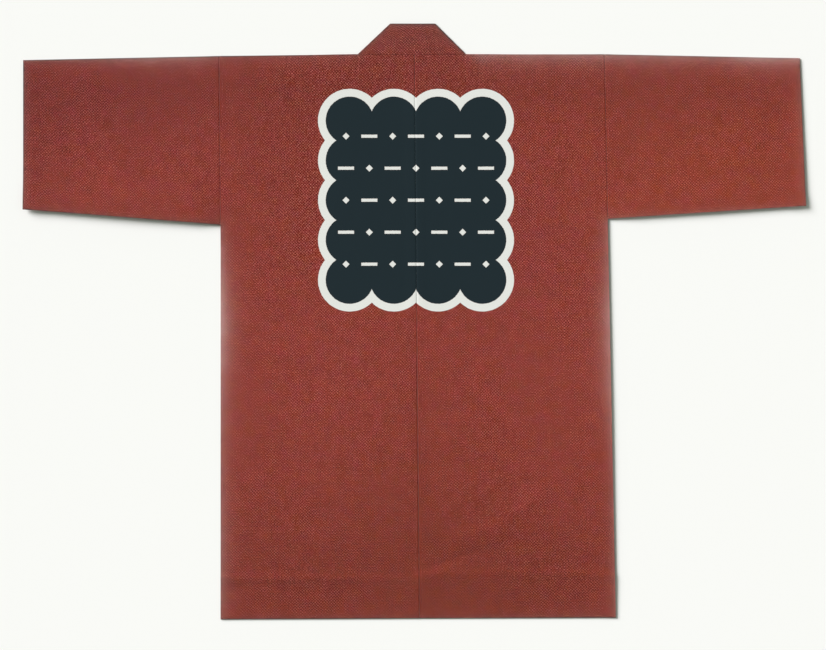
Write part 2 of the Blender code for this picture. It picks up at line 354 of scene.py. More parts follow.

# The thin dark line of painted shade at the folded edges: x, y, strength and reach
PAINTED_EDGE_SHADE = {
    "left cuff and shoulders": [
        (-587, 168, 0.65, 1.7), (-587, 392, 0.85, 1.7), (-293, 398, 0.9, 1.7), (-85, 402, 0.9, 1.7),
        (-37, 447, 0.9, 2.0), (31, 447, 0.9, 2.0), (76, 403, 0.9, 1.7), (285, 401, 0.85, 1.7),
        (578, 395, 0.7, 1.7),
    ],
    "right cuff": [(578, 395, 0.5, 1.5), (587, 173, 0.4, 1.5)],
    "left sleeve": [(-587, 168, 0.65, 1.7), (-291, 145, 0.65, 1.7)],
    "right sleeve": [(587, 173, 0.3, 1.5), (290, 154, 0.3, 1.5)],
    "left side": [(-291, 145, 0.4, 1.6), (-291, -447, 0.5, 1.6)],
    "hem": [(-291, -447, 0.6, 1.7), (302, -444, 0.5, 1.7)],
}

# Broad patches of changed lightness and warmth: x, y, radii across and up, lightness and warmth
TONES = {
    "shoulders": (0, 355, 900, 55, -0.14, 0.0),
    "left sleeve, top": (-460, 340, 200, 70, -0.10, -0.4),
    "left sleeve": (-450, 250, 170, 110, -0.01, -0.15),
    "left sleeve, end": (-570, 255, 45, 160, -0.10, -0.1),
    "right sleeve": (450, 230, 190, 110, 0.06, 0.6),
    "left of the back": (-150, -60, 150, 160, 0.06, -0.1),
    "right of the back": (190, -60, 130, 170, 0.04, 0.0),
    "left of the neck": (-175, 235, 60, 90, -0.06, 0.0),
    "right of the print": (165, 120, 55, 110, 0.0, -0.4),
    "skirt": (0, -350, 700, 140, -0.11, 0.1),
    "low middle": (15, -290, 130, 180, -0.05, 0.25),
    "low left": (-150, -410, 200, 80, -0.10, 0.1),
    "low right": (160, -410, 200, 80, -0.12, 0.2),
    "collar": (0, 430, 110, 34, -0.20, -0.2),
}

# The columns of the two tones in the table above
LIGHTNESS, WARMTH = 4, 5


def mix(a, b, amount):
    return a + (b - a) * amount


def smooth(amount):
    """0 below 0, 1 above 1, and a soft step between them."""
    amount = np.clip(amount, 0.0, 1.0)
    return amount * amount * (3 - 2 * amount)


def level(layers):
    """Height of the middle of a layer that has this many layers under it."""
    return SEAT + CLOTH / 2 + layers * LAYER


def turn_angles():
    """Angles inside a half turn of the cloth, both ends left out."""
    return math.pi * np.arange(1, FOLD_STEPS) / FOLD_STEPS


def even(length, step):
    """Fractions from 0 to 1, about a step apart over a length."""
    return np.linspace(0.0, 1.0, max(round(length / step), 1) + 1)


def close_to_seams(length, step, start=True, end=True):
    """The same, with closer ones beside a sewn edge at the start or the end."""
    beside = np.array(BESIDE_SEAM) / length
    return np.unique(np.concatenate([even(length, step)] + [beside] * start + [1 - beside] * end))


def nearest_on_line(stops, x, y):
    """Distance to a line of stops, and the stops' two other values at the nearest place on it."""
    best = np.full(np.shape(x), np.inf)
    first = np.zeros(np.shape(x))
    second = np.ones(np.shape(x))
    for (x0, y0, *start), (x1, y1, *end) in zip(stops, stops[1:]):
        along_x, along_y = (x1 - x0) * MM, (y1 - y0) * MM
        offset_x, offset_y = x - x0 * MM, y - y0 * MM
        share = (offset_x * along_x + offset_y * along_y) / (along_x**2 + along_y**2)
        share = np.clip(share, 0.0, 1.0)
        away = np.hypot(offset_x - along_x * share, offset_y - along_y * share)
        nearer = away < best
        best = np.where(nearer, away, best)
        first = np.where(nearer, mix(start[0], end[0], share), first)
        second = np.where(nearer, mix(start[1], end[1], share), second)
    return best, first, second


def soft_lines(table, x, y):
    """Sum of soft ridges and troughs along the table's lines, in metres."""
    total = np.zeros(np.shape(x))
    for stops in table.values():
        away, height, width = nearest_on_line(stops, x, y)
        total += height * MM * np.exp(-((away / (width * MM)) ** 2))
    return total


def strongest_line(table, x, y):
    """The strongest of the table's lines at each place, each dying away from its line."""
    strongest = np.zeros(np.shape(x))
    for stops in table.values():
        away, strength, reach = nearest_on_line(stops, x, y)
        strongest = np.maximum(strongest, strength * np.exp(-away / (reach * MM)))
    return strongest


def make_waves(seed, count, shortest, longest):
    """Random plane waves: their ways, lengths and starts."""
    random = np.random.default_rng(seed)
    ways = random.uniform(0, math.pi, count)
    lengths = random.uniform(shortest, longest, count)
    return np.cos(ways) / lengths, np.sin(ways) / lengths, random.uniform(0, 1, count)


BROAD_WAVES = make_waves(seed=11, count=12, shortest=0.080, longest=0.230)
SMALL_WAVES = make_waves(seed=12, count=16, shortest=0.020, longest=0.048)
PUCKER_WAVES = make_waves(seed=13, count=5, shortest=0.007, longest=0.013)


def waves_at(waves, x, y):
    total = np.zeros(np.shape(x))
    for across, up, start in zip(*waves):
        total += np.sin(2 * math.pi * (across * x + up * y + start))
    return total / math.sqrt(len(waves[0]))


def outline():
    """The coat's outline as it lies, round from the left cuff's top corner, in millimetres."""
    corners = [
        (-LEFT.cuff_top, LEFT.cuff_top_y),
        (-LEFT.armhole_top, LEFT.armhole_top_y),
        (-LEFT.neck, LEFT.neck_y),
        (-LEFT.collar_point, COLLAR_TOP),
        (RIGHT.collar_point, COLLAR_TOP),
        (RIGHT.neck, RIGHT.neck_y),
        (RIGHT.armhole_top, RIGHT.armhole_top_y),
        (RIGHT.cuff_top, RIGHT.cuff_top_y),
        (RIGHT.cuff_low, RIGHT.cuff_low_y),
        (RIGHT.armhole_low, RIGHT.armhole_low_y),
        (RIGHT.hem_x, RIGHT.hem_y),
        (-LEFT.hem_x, LEFT.hem_y),
        (-LEFT.armhole_low, LEFT.armhole_low_y),
        (-LEFT.cuff_low, LEFT.cuff_low_y),
    ]
    stops = [(x / MM, y / MM, 0, 1) for x, y in corners]
    return stops + stops[:1]


OUTLINE = outline()


def from_outline(x, y):
    return nearest_on_line(OUTLINE, x, y)[0]


def seam_side(half, y):
    """Distance of the armhole and side seam from the middle at this height."""
    up = (y - half.armhole_low_y) / (half.armhole_top_y - half.armhole_low_y)
    down = (y - half.hem_y) / (half.armhole_low_y - half.hem_y)
    above = mix(half.armhole_low, half.armhole_top, up)
    below = mix(half.hem_x, half.armhole_low, down)
    return np.where(y >= half.armhole_low_y, above, below)


def seam_centre(half, y):
    """The same for the edge of this half at the centre back seam."""
    x = mix(CENTRE_SEAM_HEM, CENTRE_SEAM_TOP, (y - HEM) / (NECK_SEAM - HEM))
    return half.sign * x + SEAM_GAP / 2


def seam_collar(half, y):
    """The same for the seam between the front edge and the collar's leg."""
    share = (y - HEM) / (NECK_SEAM - HEM)
    return mix(LEG_EDGE_HEM + LEG_WIDTH_HEM, half.neck, share)


def seam_relief(away):
    """A sewn edge: rolled down at its seam, and lifted over the turning under it."""
    rolled = -SEAM_DIP * np.exp(-((away / SEAM_DIP_WIDTH) ** 2))
    past = away - ALLOWANCE * ALLOWANCE_FULL
    over_turning = ALLOWANCE_HEIGHT * (1 - smooth(past / (ALLOWANCE * ALLOWANCE_EASE)))
    return rolled + over_turning


def puckers(x, y, away):
    return PUCKER * waves_at(PUCKER_WAVES, x, y) * np.exp(-away / PUCKER_REACH)


def back_relief(x, y):
    """Air, waves and creases that lift the back over the layers under it."""
    inside = smooth(from_outline(x, y) / LOFT_REACH)
    broad = BROAD_SWELL * waves_at(BROAD_WAVES, x, y)
    small = SMALL_SWELL * waves_at(SMALL_WAVES, x, y)
    creases = soft_lines(BACK_CREASES, x, y) * mix(CREASES_AT_EDGE, 1.0, inside)
    return (LOFT + broad + small) * inside + creases


def front_relief(x, y):
    inside = smooth(from_outline(x, y) / LOFT_REACH)
    broad = FRONT_BROAD_SWELL * waves_at(BROAD_WAVES, -x, y)
    small = FRONT_SMALL_SWELL * waves_at(SMALL_WAVES, -x, y)
    return (FRONT_LOFT + broad + small + soft_lines(FRONT_CREASES, x, y)) * inside


def raised(x, y):
    """How far the whole thickness stands off the floor along some edges."""
    lift = np.zeros(np.shape(x))
    for stops in RAISED_EDGES.values():
        away, height, reach = nearest_on_line(stops, x, y)
        lift = np.maximum(lift, height * MM * np.exp(-((away / (reach * MM)) ** 2)))
    return lift


def stack(*values):
    """Puts x, y and z of one stretch of cloth together, columns by rows."""
    return np.stack(np.broadcast_arrays(*values), axis=-1)


def cloth_length(places):
    """Length of cloth from each column's first row to each row."""
    runs = np.linalg.norm(np.diff(places, axis=1), axis=2)
    return np.concatenate([np.zeros((len(places), 1)), np.cumsum(runs, axis=1)], axis=1)


def sheet_object(name, material, places, thread_x, printed=0.0, cut_away=None):
    """A cloth sheet through columns by rows of places, thickened to its wall."""
    shape = places.shape[:2]
    across, along = shape[0] - 1, shape[1] - 1
    mesh = bpy.data.meshes.new(name)
    bm = bmesh.new()
    bmesh.ops.create_grid(bm, x_segments=across, y_segments=along, size=1.0)
    bm.to_mesh(mesh)
    bm.free()
    spots = np.empty(len(mesh.vertices) * 3, np.float32)
    mesh.vertices.foreach_get("co", spots)
    column = np.rint((spots[0::3] + 1) / 2 * across).astype(int)
    row = np.rint((spots[1::3] + 1) / 2 * along).astype(int)

    settled = places.copy()
    settled[..., 2] += raised(places[..., 0], places[..., 1])
    mesh.vertices.foreach_set("co", settled[column, row].astype(np.float32).ravel())

    threads = np.stack([np.broadcast_to(thread_x, shape), cloth_length(places)], axis=-1)
    corners = np.empty(len(mesh.loops), np.int32)
    mesh.loops.foreach_get("vertex_index", corners)
    uv = mesh.uv_layers.new(name="threads")
    uv.data.foreach_set("uv", threads[column, row][corners].astype(np.float32).ravel())

    x, y = places[..., 0], places[..., 1]
    # The attributes carry the painted highlight on rounded edges, and broad tones with painted
    # light and shade
    for label, values in (
        ("painted_highlight", strongest_line(PAINTED_EDGE_HIGHLIGHTS, x, y)),
        ("lightness", lightness_at(x, y)),
        ("warmth", tones_at(x, y, WARMTH)),
        ("printed", np.broadcast_to(printed, shape)),
    ):
        layer = mesh.attributes.new(label, "FLOAT", "POINT")
        layer.data.foreach_set("value", values[column, row].astype(np.float32))

    if cut_away is not None:
        bm = bmesh.new()
        bm.from_mesh(mesh)
        bm.verts.ensure_lookup_table()
        gone = [bm.verts[index] for index in np.flatnonzero(cut_away[column, row])]
        bmesh.ops.delete(bm, geom=gone, context="VERTS")
        bm.to_mesh(mesh)
        bm.free()
    mesh.shade_smooth()
    mesh.materials.append(material)
    piece = bpy.data.objects.new(name, mesh)
    bpy.context.scene.collection.objects.link(piece)
    wall = piece.modifiers.new("wall", "SOLIDIFY")
    wall.thickness = CLOTH
    wall.offset = 0.0
    wall.use_even_offset = True
    wall.use_quality_normals = True
    return piece


def lightness_at(x, y):
    """Broad tones, with painted light and shade on creases, in lines and along folded edges."""
    # Painted highlight on crease crests and the hem's ridge, painted shade in crease troughs
    crests = soft_lines(BACK_CREASES, x, y) + soft_lines(HEM_RIDGE, x, y)
    # Painted light and shade: paler and darker lines at the hem's turning and beside the centre
    # seam
    painted_lines = soft_lines(PAINTED_LIGHT_AND_SHADE_LINES, x, y)
    lines = (CREST_PAINTED_LIGHT * crests + painted_lines) / MM
    # Painted shade: a thin dark line along the folded edges
    return tones_at(x, y, LIGHTNESS) + lines - strongest_line(PAINTED_EDGE_SHADE, x, y)


def tones_at(x, y, column):
    total = np.zeros(np.shape(x))
    for patch in TONES.values():
        middle_x, middle_y, radius_x, radius_y = (value * MM for value in patch[:4])
        away = ((x - middle_x) / radius_x) ** 2 + ((y - middle_y) / radius_y) ** 2
        total += patch[column] * np.exp(-away)
    return total


def body_back_height(half, x, y, hem_y, past_neck):
    """Middle of the back's cloth over the front, the collar's legs and the turned hem."""
    on_legs = 1 - smooth((abs(x) - OVER_LEGS) / OVER_LEGS_EASE)
    on_turn = 1 - smooth((y - hem_y - HEM_TURN - TURN_MARGIN) / HEM_TURN_EASE)
    at_neck = 1 - smooth((NECK_SEAM - NECK_GAP - y) / NECK_EASE_DOWN)
    at_neck *= 1 - smooth((abs(x) - NECK_HALF) / NECK_EASE_ACROSS)
    under = mix(level(1), level(2), on_legs)
    height = np.maximum(under + back_relief(x, y) - LESS_AIR_ON_LEGS * on_legs, under)
    height = mix(height, level(3) + CREASES_ON_TURN * soft_lines(BACK_CREASES, x, y), on_turn)
    height = mix(height, level(2.5), at_neck)

    from_side = np.abs(seam_side(half, y) - half.sign * x)
    from_centre = np.abs(half.sign * x - seam_centre(half, y))
    above_armpit = smooth((y - half.armhole_low_y) / ARMPIT_EASE)
    height += seam_relief(from_side) * above_armpit + puckers(x, y, from_side)
    height += seam_relief(from_centre) * (1 - FLATTER_ON_TURN * on_turn)
    height += puckers(x, y, from_centre)
    height += seam_relief(NECK_SEAM - y) * past_neck * NECK_RELIEF
    height += soft_lines(HEM_RIDGE, x, y)

    # Below the armpit the back comes down to the front at the side seam
    to_front = (1 - smooth(from_side / SIDE_EASE)) * (1 - above_armpit) * (1 - on_turn)
    return mix(height, level(1), to_front)


def make_body(half, material):
    """One length of cloth, folded at the shoulder, its front cut away inside the collar seam."""
    side = seam_side(half, NECK_SEAM)
    width = side - seam_centre(half, NECK_SEAM)
    neck_share = (side - half.neck - NECK_CLEAR) / width
    outer = close_to_seams(width * neck_share, STEP) * neck_share
    inner = mix(neck_share, 1.0, close_to_seams(width * (1 - neck_share), STEP))
    share = np.unique(np.concatenate([outer, inner]))[:, None]
    share_front = np.minimum(share / neck_share, 1.0)
    past_neck = smooth((share - neck_share) * width / NECK_EASE_ALONG)
    hem_y = mix(half.hem_y, HEM, share)
    shoulder = mix(half.armhole_top_y - DOUBLED / 2, NECK_SEAM - NECK_GAP, share_front)
    bottom = hem_y + DOUBLED / 2
    turned = hem_y + HEM_TURN
    length = NECK_SEAM - HEM

    def back(y):
        return half.sign * mix(seam_side(half, y), seam_centre(half, y), share)

    def front(y):
        return half.sign * mix(seam_side(half, y), seam_collar(half, y) + NECK_CLEAR, share_front)

    # The back: its turned hem, then up to the shoulder
    angles = turn_angles()
    turn_rows = even(HEM_TURN, TURN_STEP)
    y = mix(turned, bottom, turn_rows)
    back_return = stack(back(y), y, level(2))
    y = bottom - LAYER / 2 * np.sin(angles)
    back_fold = stack(back(y), y, level(2.5) - LAYER / 2 * np.cos(angles))
    y = mix(bottom, shoulder, close_to_seams(length, STEP))
    x = back(y)
    back_leaf = stack(x, y, body_back_height(half, x, y, hem_y, past_neck))

    # Over the shoulder, down the front, and its turned hem
    x, y, top = np.moveaxis(back_leaf[:, -1:], -1, 0)
    turn = (top - level(0)) / 2
    over = stack(x, y + turn * np.sin(angles), level(0) + turn * (1 + np.cos(angles)))
    y = mix(shoulder, bottom, even(length, FRONT_STEP))
    x = front(y)
    from_hem = smooth((y - turned) / FRONT_HEM_EASE)
    front_leaf = stack(x, y, level(0) + front_relief(x, y) * from_hem)
    y = bottom - LAYER / 2 * np.sin(angles)
    front_fold = stack(front(y), y, level(0.5) - LAYER / 2 * np.cos(angles))
    y = mix(bottom, turned, turn_rows)
    front_return = stack(front(y), y, level(1))

    stretches = [back_return, back_fold, back_leaf, over, front_leaf, front_fold, front_return]
    places = np.concatenate(stretches, axis=1)
    counts = np.cumsum([stretch.shape[1] for stretch in stretches])
    rows = np.arange(places.shape[1])[None, :]
    on_back = (rows >= counts[1]) & (rows < counts[2])
    cut_away = (share > neck_share + 1e-9) & (rows >= counts[2])
    thread_x = half.sign * (side - share * width)
    return sheet_object("cloth_body_" + half.side, material, places, thread_x, on_back, cut_away)


def make_sleeve(half, material):
    """A sleeve: one piece folded along its top, its cuff turned in, its seam underneath."""
    length = half.cuff_low - half.armhole_low
    flat_end = 1 - (CUFF_TURN + TURN_MARGIN) / length
    ease_end = flat_end - CUFF_TURN_EASE / length
    fold_start = 1 - DOUBLED / 2 / length
    narrow, wide = LAYER / 2, (level(3) - level(0)) / 2

    # Columns: how far along, layers under the back and the front, half the top fold, and how free
    columns = [
        (share * ease_end, 1.0, 0.0, narrow, 1.0)
        for share in close_to_seams(length * ease_end, STEP, end=False)
    ]
    for share in even(CUFF_TURN_EASE, STEP)[1:]:
        on_turn = float(smooth(share))
        along = mix(ease_end, flat_end, share)
        half_fold = mix(narrow, wide, on_turn)
        columns.append((along, mix(1.0, 3.0, on_turn), 0.0, half_fold, 1 - on_turn))
    for share in close_to_seams(CUFF_TURN, STEP, start=False)[1:]:
        columns.append((mix(flat_end, fold_start, share), 3.0, 0.0, wide, 0.0))
    for angle in turn_angles():
        along = fold_start + LAYER / 2 * math.sin(angle) / length
        half_up = 0.5 * math.cos(angle)
        columns.append((along, 2.5 + half_up, 0.5 - half_up, wide, 0.0))
    for share in even(CUFF_TURN, TURN_STEP):
        columns.append((mix(fold_start, 1 - CUFF_TURN / length, share), 2.0, 1.0, wide, 0.0))
    along, back_layers, front_layers, outer_turn, free = (
        np.array(values)[:, None] for values in zip(*columns)
    )

    top_x = mix(half.armhole_top + SEAM_GAP, half.cuff_top, along)
    low_x = mix(half.armhole_low + SEAM_GAP, half.cuff_low, along)
    outer_y = mix(half.armhole_top_y, half.cuff_top_y, along)
    low_y = mix(half.armhole_low_y, half.cuff_low_y, along)
    depth = half.armhole_top_y - half.armhole_low_y

    def place(y):
        return half.sign * mix(low_x, top_x, (y - low_y) / (outer_y - low_y))

    top_y = outer_y - outer_turn - CLOTH / 2
    y = mix(low_y, top_y, close_to_seams(depth, STEP))
    x = place(y)
    from_armhole = np.abs(half.sign * x - seam_side(half, y))
    from_low = y - low_y
    height = level(back_layers) + back_relief(x, y) * free
    height += seam_relief(from_armhole) + puckers(x, y, from_armhole) + puckers(x, y, from_low)
    to_front = (1 - smooth(from_low / SIDE_EASE)) * free
    height = mix(height, level(1), to_front)
    back_leaf = stack(x, y, height)

    angles = turn_angles()
    turn = (height[:, -1:] - level(front_layers)) / 2
    y = top_y + turn * np.sin(angles)
    over = stack(place(y), y, level(front_layers) + turn * (1 + np.cos(angles)))
    y = mix(top_y, low_y, even(depth, FRONT_STEP))
    x = place(y)
    front_leaf = stack(x, y, level(front_layers) + front_relief(x, y) * free)
    places = np.concatenate([back_leaf, over, front_leaf], axis=1)
    return sheet_object("cloth_sleeve_" + half.side, material, places, along * length)


# A place along the collar band: the middles of its seam edge and free edge, and its face's way
Station = namedtuple("Station", "seam edge face")


def mitre_line(half):
    """Where the band's middle folds over beside the neck: its two ends, its way and the way out."""
    corner = Vector((half.neck, half.neck_y, 0.0))
    point = Vector((half.collar_point, COLLAR_TOP, 0.0))
    along = (point - corner).normalized()
    outwards = Vector((along.y, -along.x, 0.0))
    inset = outwards * (LAYER + DOUBLED / 2)
    edge = point - inset
    seam = corner - inset
    seam += along * ((NECK_SEAM - seam.y) / along.y)
    return seam, edge, along, outwards


def collar_half(half):
    """Stations from beside the centre back, over the mitre at the shoulder and down to the hem."""
    seam, edge, along, outwards = mitre_line(half)
    up = Vector((0.0, 0.0, 1.0))
    stations = []
    for share in even(seam.x, COLLAR_STEP)[1:-1]:
        seam_place = Vector((seam.x * share, NECK_SEAM, level(2.5)))
        free_place = Vector((edge.x * share, COLLAR_TOP, level(2.5)))
        stations.append(Station(seam_place, free_place, up))
    for angle in math.pi * np.arange(MITRE_STEPS + 1) / MITRE_STEPS:
        height = level(1.5) + LAYER * math.cos(angle)
        shift = outwards * (LAYER * math.sin(angle)) + up * height
        slide = along * (LAYER * (math.pi / 2 - angle))
        face = outwards * math.sin(angle) + up * math.cos(angle)
        stations.append(Station(seam + shift, edge + shift + slide, face))
    for share in even(LEG_SETTLED_Y - HEM, COLLAR_STEP):
        y = mix(LEG_SETTLED_Y, HEM, share)
        edge_x = mix(half.collar_point, LEG_EDGE_HEM, (NECK_SEAM - y) / (NECK_SEAM - HEM))
        seam_place = Vector((seam_collar(half, y), y, level(0.5)))
        stations.append(Station(seam_place, Vector((edge_x, y, level(0.5))), -up))
    return [mirror_station(half.sign, station) for station in stations]


def mirror_station(sign, station):
    return Station(*(Vector((sign * place.x, place.y, place.z)) for place in station))


def band_section(station):
    """Points round the doubled band: one layer, the fold at its free edge, the other layer."""
    across = station.edge - station.seam
    flat = across.length - DOUBLED / 2
    across.normalize()
    apart = station.face * (LAYER / 2)
    shares = close_to_seams(BAND_WIDTH, BAND_WIDTH / BAND_COLUMNS)
    places = [station.seam + across * (flat * share) + apart for share in shares]
    for angle in turn_angles():
        out = across * (flat + LAYER / 2 * math.sin(angle))
        places.append(station.seam + out + apart * math.cos(angle))
    places += [station.seam + across * (flat * share) - apart for share in shares[::-1]]
    return places


def make_collar(material):
    """One band, doubled along its free edge, from hem to hem, folded over at each mitre."""
    left = collar_half(LEFT)
    right = collar_half(RIGHT)
    middle = Station(
        Vector((0.0, NECK_SEAM, level(2.5))),
        Vector((0.0, COLLAR_TOP, level(2.5))),
        Vector((0.0, 0.0, 1.0)),
    )
    stations = left[::-1] + [middle] + right
    places = np.array([band_section(station) for station in stations])
    x, y = places[..., 0], places[..., 1]
    from_seam = np.abs(y - NECK_SEAM)
    relief = NECK_RELIEF * seam_relief(from_seam) + puckers(x, y, from_seam)
    places[..., 2] += np.where(places[..., 2] > level(2.5), relief, 0.0)
    lengths = cloth_length(np.swapaxes(places, 0, 1)).T
    return sheet_object("cloth_collar", material, places, lengths)


def hem_stitches(half):
    """Places of the blind stitches that hold this half's hem and cuff, and the way each lies."""
    places = []
    turned = half.hem_y + HEM_TURN - STITCH_INSET
    side = float(seam_side(half, turned))
    for x in np.arange(side - STITCH_PITCH / 2, HEM_STITCH_END, -STITCH_PITCH):
        spot = np.array([half.sign * x])
        top = body_back_height(half, spot, np.array([turned]), half.hem_y, 0.0)[0]
        places.append((half.sign * x, turned, top + CLOTH / 2, ACROSS))
        if x > LEG_EDGE_HEM + LEG_WIDTH_HEM + STITCH_PITCH:
            places.append((half.sign * x, turned, level(0) - CLOTH / 2, ACROSS))
    inset = CUFF_TURN - STITCH_INSET
    cuff_pitch = STITCH_PITCH / (half.cuff_top_y - half.cuff_low_y)
    for share in np.arange(STITCH_PITCH / 2, 1.0, cuff_pitch):
        y = mix(half.cuff_low_y, half.cuff_top_y, share)
        x = half.sign * (mix(half.cuff_low, half.cuff_top, share) - inset)
        places.append((x, y, level(3) + CLOTH / 2, UPWARDS))
        places.append((x, y, level(0) - CLOTH / 2, UPWARDS))
    return places


def make_stitches(material):
    """Small blind stitches of the same red as the cloth, along the hem and the cuffs."""
    random = np.random.default_rng(21)
    bm = bmesh.new()
    for x, y, z, turn in hem_stitches(LEFT) + hem_stitches(RIGHT):
        lift = float(raised(np.array([x]), np.array([y]))[0])
        place = Matrix.Translation((x, y, z + lift))
        way = Matrix.Rotation(turn + random.normal(0.0, STITCH_SWING), 4, "Z")
        half_length = STITCH_LENGTH / 2 * random.uniform(*STITCH_LENGTHS)
        size = Matrix.Diagonal((half_length, THREAD / 2, THREAD / 2, 1.0))
        bmesh.ops.create_icosphere(bm, subdivisions=1, radius=1.0, matrix=place @ way @ size)
    mesh = bpy.data.meshes.new("stitches")
    bm.to_mesh(mesh)
    bm.free()
    mesh.shade_smooth()
    mesh.materials.append(material)
    stitches = bpy.data.objects.new("stitches", mesh)
    bpy.context.scene.collection.objects.link(stitches)
    return stitches


class Value:
    """A value in a shader tree. Each sum made with it adds one Math node to the tree."""

    def __init__(self, tree, socket):
        self.tree = tree
        self.socket = socket

    def __add__(self, other):
        return calc("ADD", self, other)

    def __sub__(self, other):
        return calc("SUBTRACT", self, other)

    def __rsub__(self, other):
        return calc("SUBTRACT", other, self)

    def __mul__(self, other):
        return calc("MULTIPLY", self, other)

    def __truediv__(self, other):
        return calc("DIVIDE", self, other)

    def __abs__(self):
        return calc("ABSOLUTE", self)

    def line(self, slope, start, clamp=False):
        """The value times a slope, plus a start."""
        return calc("MULTIPLY_ADD", self, slope, start, clamp=clamp)


def feed(slot, value):
    """Links a value to a socket, or sets the socket to a number, a vector or a colour."""
    if isinstance(value, Value):
        value.tree.links.new(value.socket, slot)
    else:
        slot.default_value = value


def calc(operation, *values, clamp=False, kind="ShaderNodeMath"):
    """One Math or Vector Math node, fed with values, numbers or vectors."""
    tree = next(value.tree for value in values if isinstance(value, Value))
    node = tree.nodes.new(kind)
    node.operation = operation
    if clamp:
        node.use_clamp = True
    for slot, value in zip(node.inputs, values):
        feed(slot, value)
    return Value(tree, node.outputs[0])


def vector_calc(operation, *values):
    return calc(operation, *values, kind="ShaderNodeVectorMath")


def parts_of(vector):
    node = vector.tree.nodes.new("ShaderNodeSeparateXYZ")
    feed(node.inputs[0], vector)
    return [Value(vector.tree, part) for part in node.outputs]


def noise(vector, scale, detail=2.0, roughness=0.5):
    node = vector.tree.nodes.new("ShaderNodeTexNoise")
    feed(node.inputs["Vector"], vector)
    feed(node.inputs["Scale"], scale)
    feed(node.inputs["Detail"], detail)
    feed(node.inputs["Roughness"], roughness)
    return Value(vector.tree, node.outputs["Fac"])


def gamma(colour, power):
    node = colour.tree.nodes.new("ShaderNodeGamma")
    feed(node.inputs["Color"], colour)
    feed(node.inputs["Gamma"], power)
    return Value(colour.tree, node.outputs["Color"])


def colour_mix(amount, base, colour):
    """The base colour, covered by another where the amount is 1."""
    node = amount.tree.nodes.new("ShaderNodeMix")
    node.data_type = "RGBA"
    feed(node.inputs["Factor"], amount)
    feed(node.inputs["A"], base)
    feed(node.inputs["B"], colour)
    return Value(amount.tree, node.outputs["Result"])


def new_group(name, inputs, outputs):
    """A shader group: its tree, its inputs as values by name, and its outputs to feed."""
    tree = bpy.data.node_groups.new(name, "ShaderNodeTree")
    for way, sockets in (("INPUT", inputs), ("OUTPUT", outputs)):
        for label, kind in sockets.items():
            tree.interface.new_socket(name=label, in_out=way, socket_type="NodeSocket" + kind)
    entry = tree.nodes.new("NodeGroupInput")
    leave = tree.nodes.new("NodeGroupOutput")
    return tree, {label: Value(tree, entry.outputs[label]) for label in inputs}, leave.inputs


def plain_weave_group():
    """Plain weave of paired threads: its height, its light and dark checks, thick and thin yarn."""
    tree, given, result = new_group(
        "plain_weave",
        {"Threads": "Vector", "Pairs per metre": "Float"},
        {"Height": "Float", "Checks": "Float", "Slubs": "Float"},
    )
    threads, pairs = given["Threads"], given["Pairs per metre"]
    drift = noise(threads, 55.0).line(0.0022, -0.0011)
    across, along, _ = parts_of(threads)
    across = (across + drift) * pairs
    along = (along + drift) * pairs
    checks = calc("SINE", across * math.pi) * calc("SINE", along * math.pi)

    warp_threads = abs(calc("SINE", across * (2 * math.pi)))
    weft_threads = abs(calc("SINE", along * (2 * math.pi)))
    warp_on_top = calc("GREATER_THAN", checks, 0.0)
    single = warp_threads * warp_on_top + weft_threads * (1.0 - warp_on_top)
    feed(result["Height"], abs(checks).line(0.5, single * 0.5))

    # Each crossing of a pair has its own lightness, and the yarn is flecked
    crossing = tree.nodes.new("ShaderNodeCombineXYZ")
    feed(crossing.inputs["X"], calc("FLOOR", across))
    feed(crossing.inputs["Y"], calc("FLOOR", along))
    random = tree.nodes.new("ShaderNodeTexWhiteNoise")
    tree.links.new(crossing.outputs["Vector"], random.inputs["Vector"])
    own = Value(tree, random.outputs["Value"]).line(0.3, -0.15)
    fleck = noise(threads, 480.0, 1.0).line(3.0, -1.5) + own
    uneven = noise(threads, 190.0, 1.0).line(2.6, -0.4, clamp=True)
    feed(result["Checks"], checks * uneven + fleck)

    warp_slub = noise(vector_calc("MULTIPLY", threads, (290.0, 45.0, 1.0)), 1.0)
    weft_slub = noise(vector_calc("MULTIPLY", threads, (45.0, 290.0, 1.0)), 1.0)
    feed(result["Slubs"], warp_slub + weft_slub - 1.0)
    return tree


def dye_and_painted_light_group():
    """Cotton dyed red: rose and brown patches, light and dark checks, painted edge highlight."""
    floats = ("Checks", "Slubs", "Lightness", "Warmth", "Faded")
    tree, given, result = new_group(
        "madder_dye_and_painted_light", {"Place": "Vector"} | dict.fromkeys(floats, "Float"), {"Color": "Color"}
    )
    place = given["Place"]
    rose = noise(place, 57.0, 4.0, 0.62) - 0.5
    other_place = vector_calc("ADD", place, (3.1, 1.7, 0.0))
    brown = noise(other_place, 57.0, 4.0, 0.62) - 0.5 + given["Warmth"] * 0.22
    dye = vector_calc("MULTIPLY_ADD", rose, TOWARDS_ROSE, DYE)
    dye = vector_calc("MULTIPLY_ADD", brown, TOWARDS_BROWN, dye)
    # The lightness attribute brings broad tones and the painted light and shade
    light = noise(place, 60.0).line(0.24, 0.88) + given["Lightness"] + given["Slubs"] * SLUB_TONE
    toned = vector_calc("MULTIPLY", dye, light)

    # The checks lighten and darken the three colours alike, as the eye sees them
    seen = gamma(toned, 1 / EYE_GAMMA)
    grained = vector_calc("MULTIPLY_ADD", given["Checks"], CHECK_CONTRAST, seen)
    # Painted highlight: pale pink laid unevenly over the rounded edges
    highlighted = given["Faded"] * noise(place, 42.0, 3.0, 0.6).line(0.8, 0.6)
    feed(result["Color"], colour_mix(highlighted, gamma(grained, EYE_GAMMA), HIGHLIGHT_PINK))
    return tree


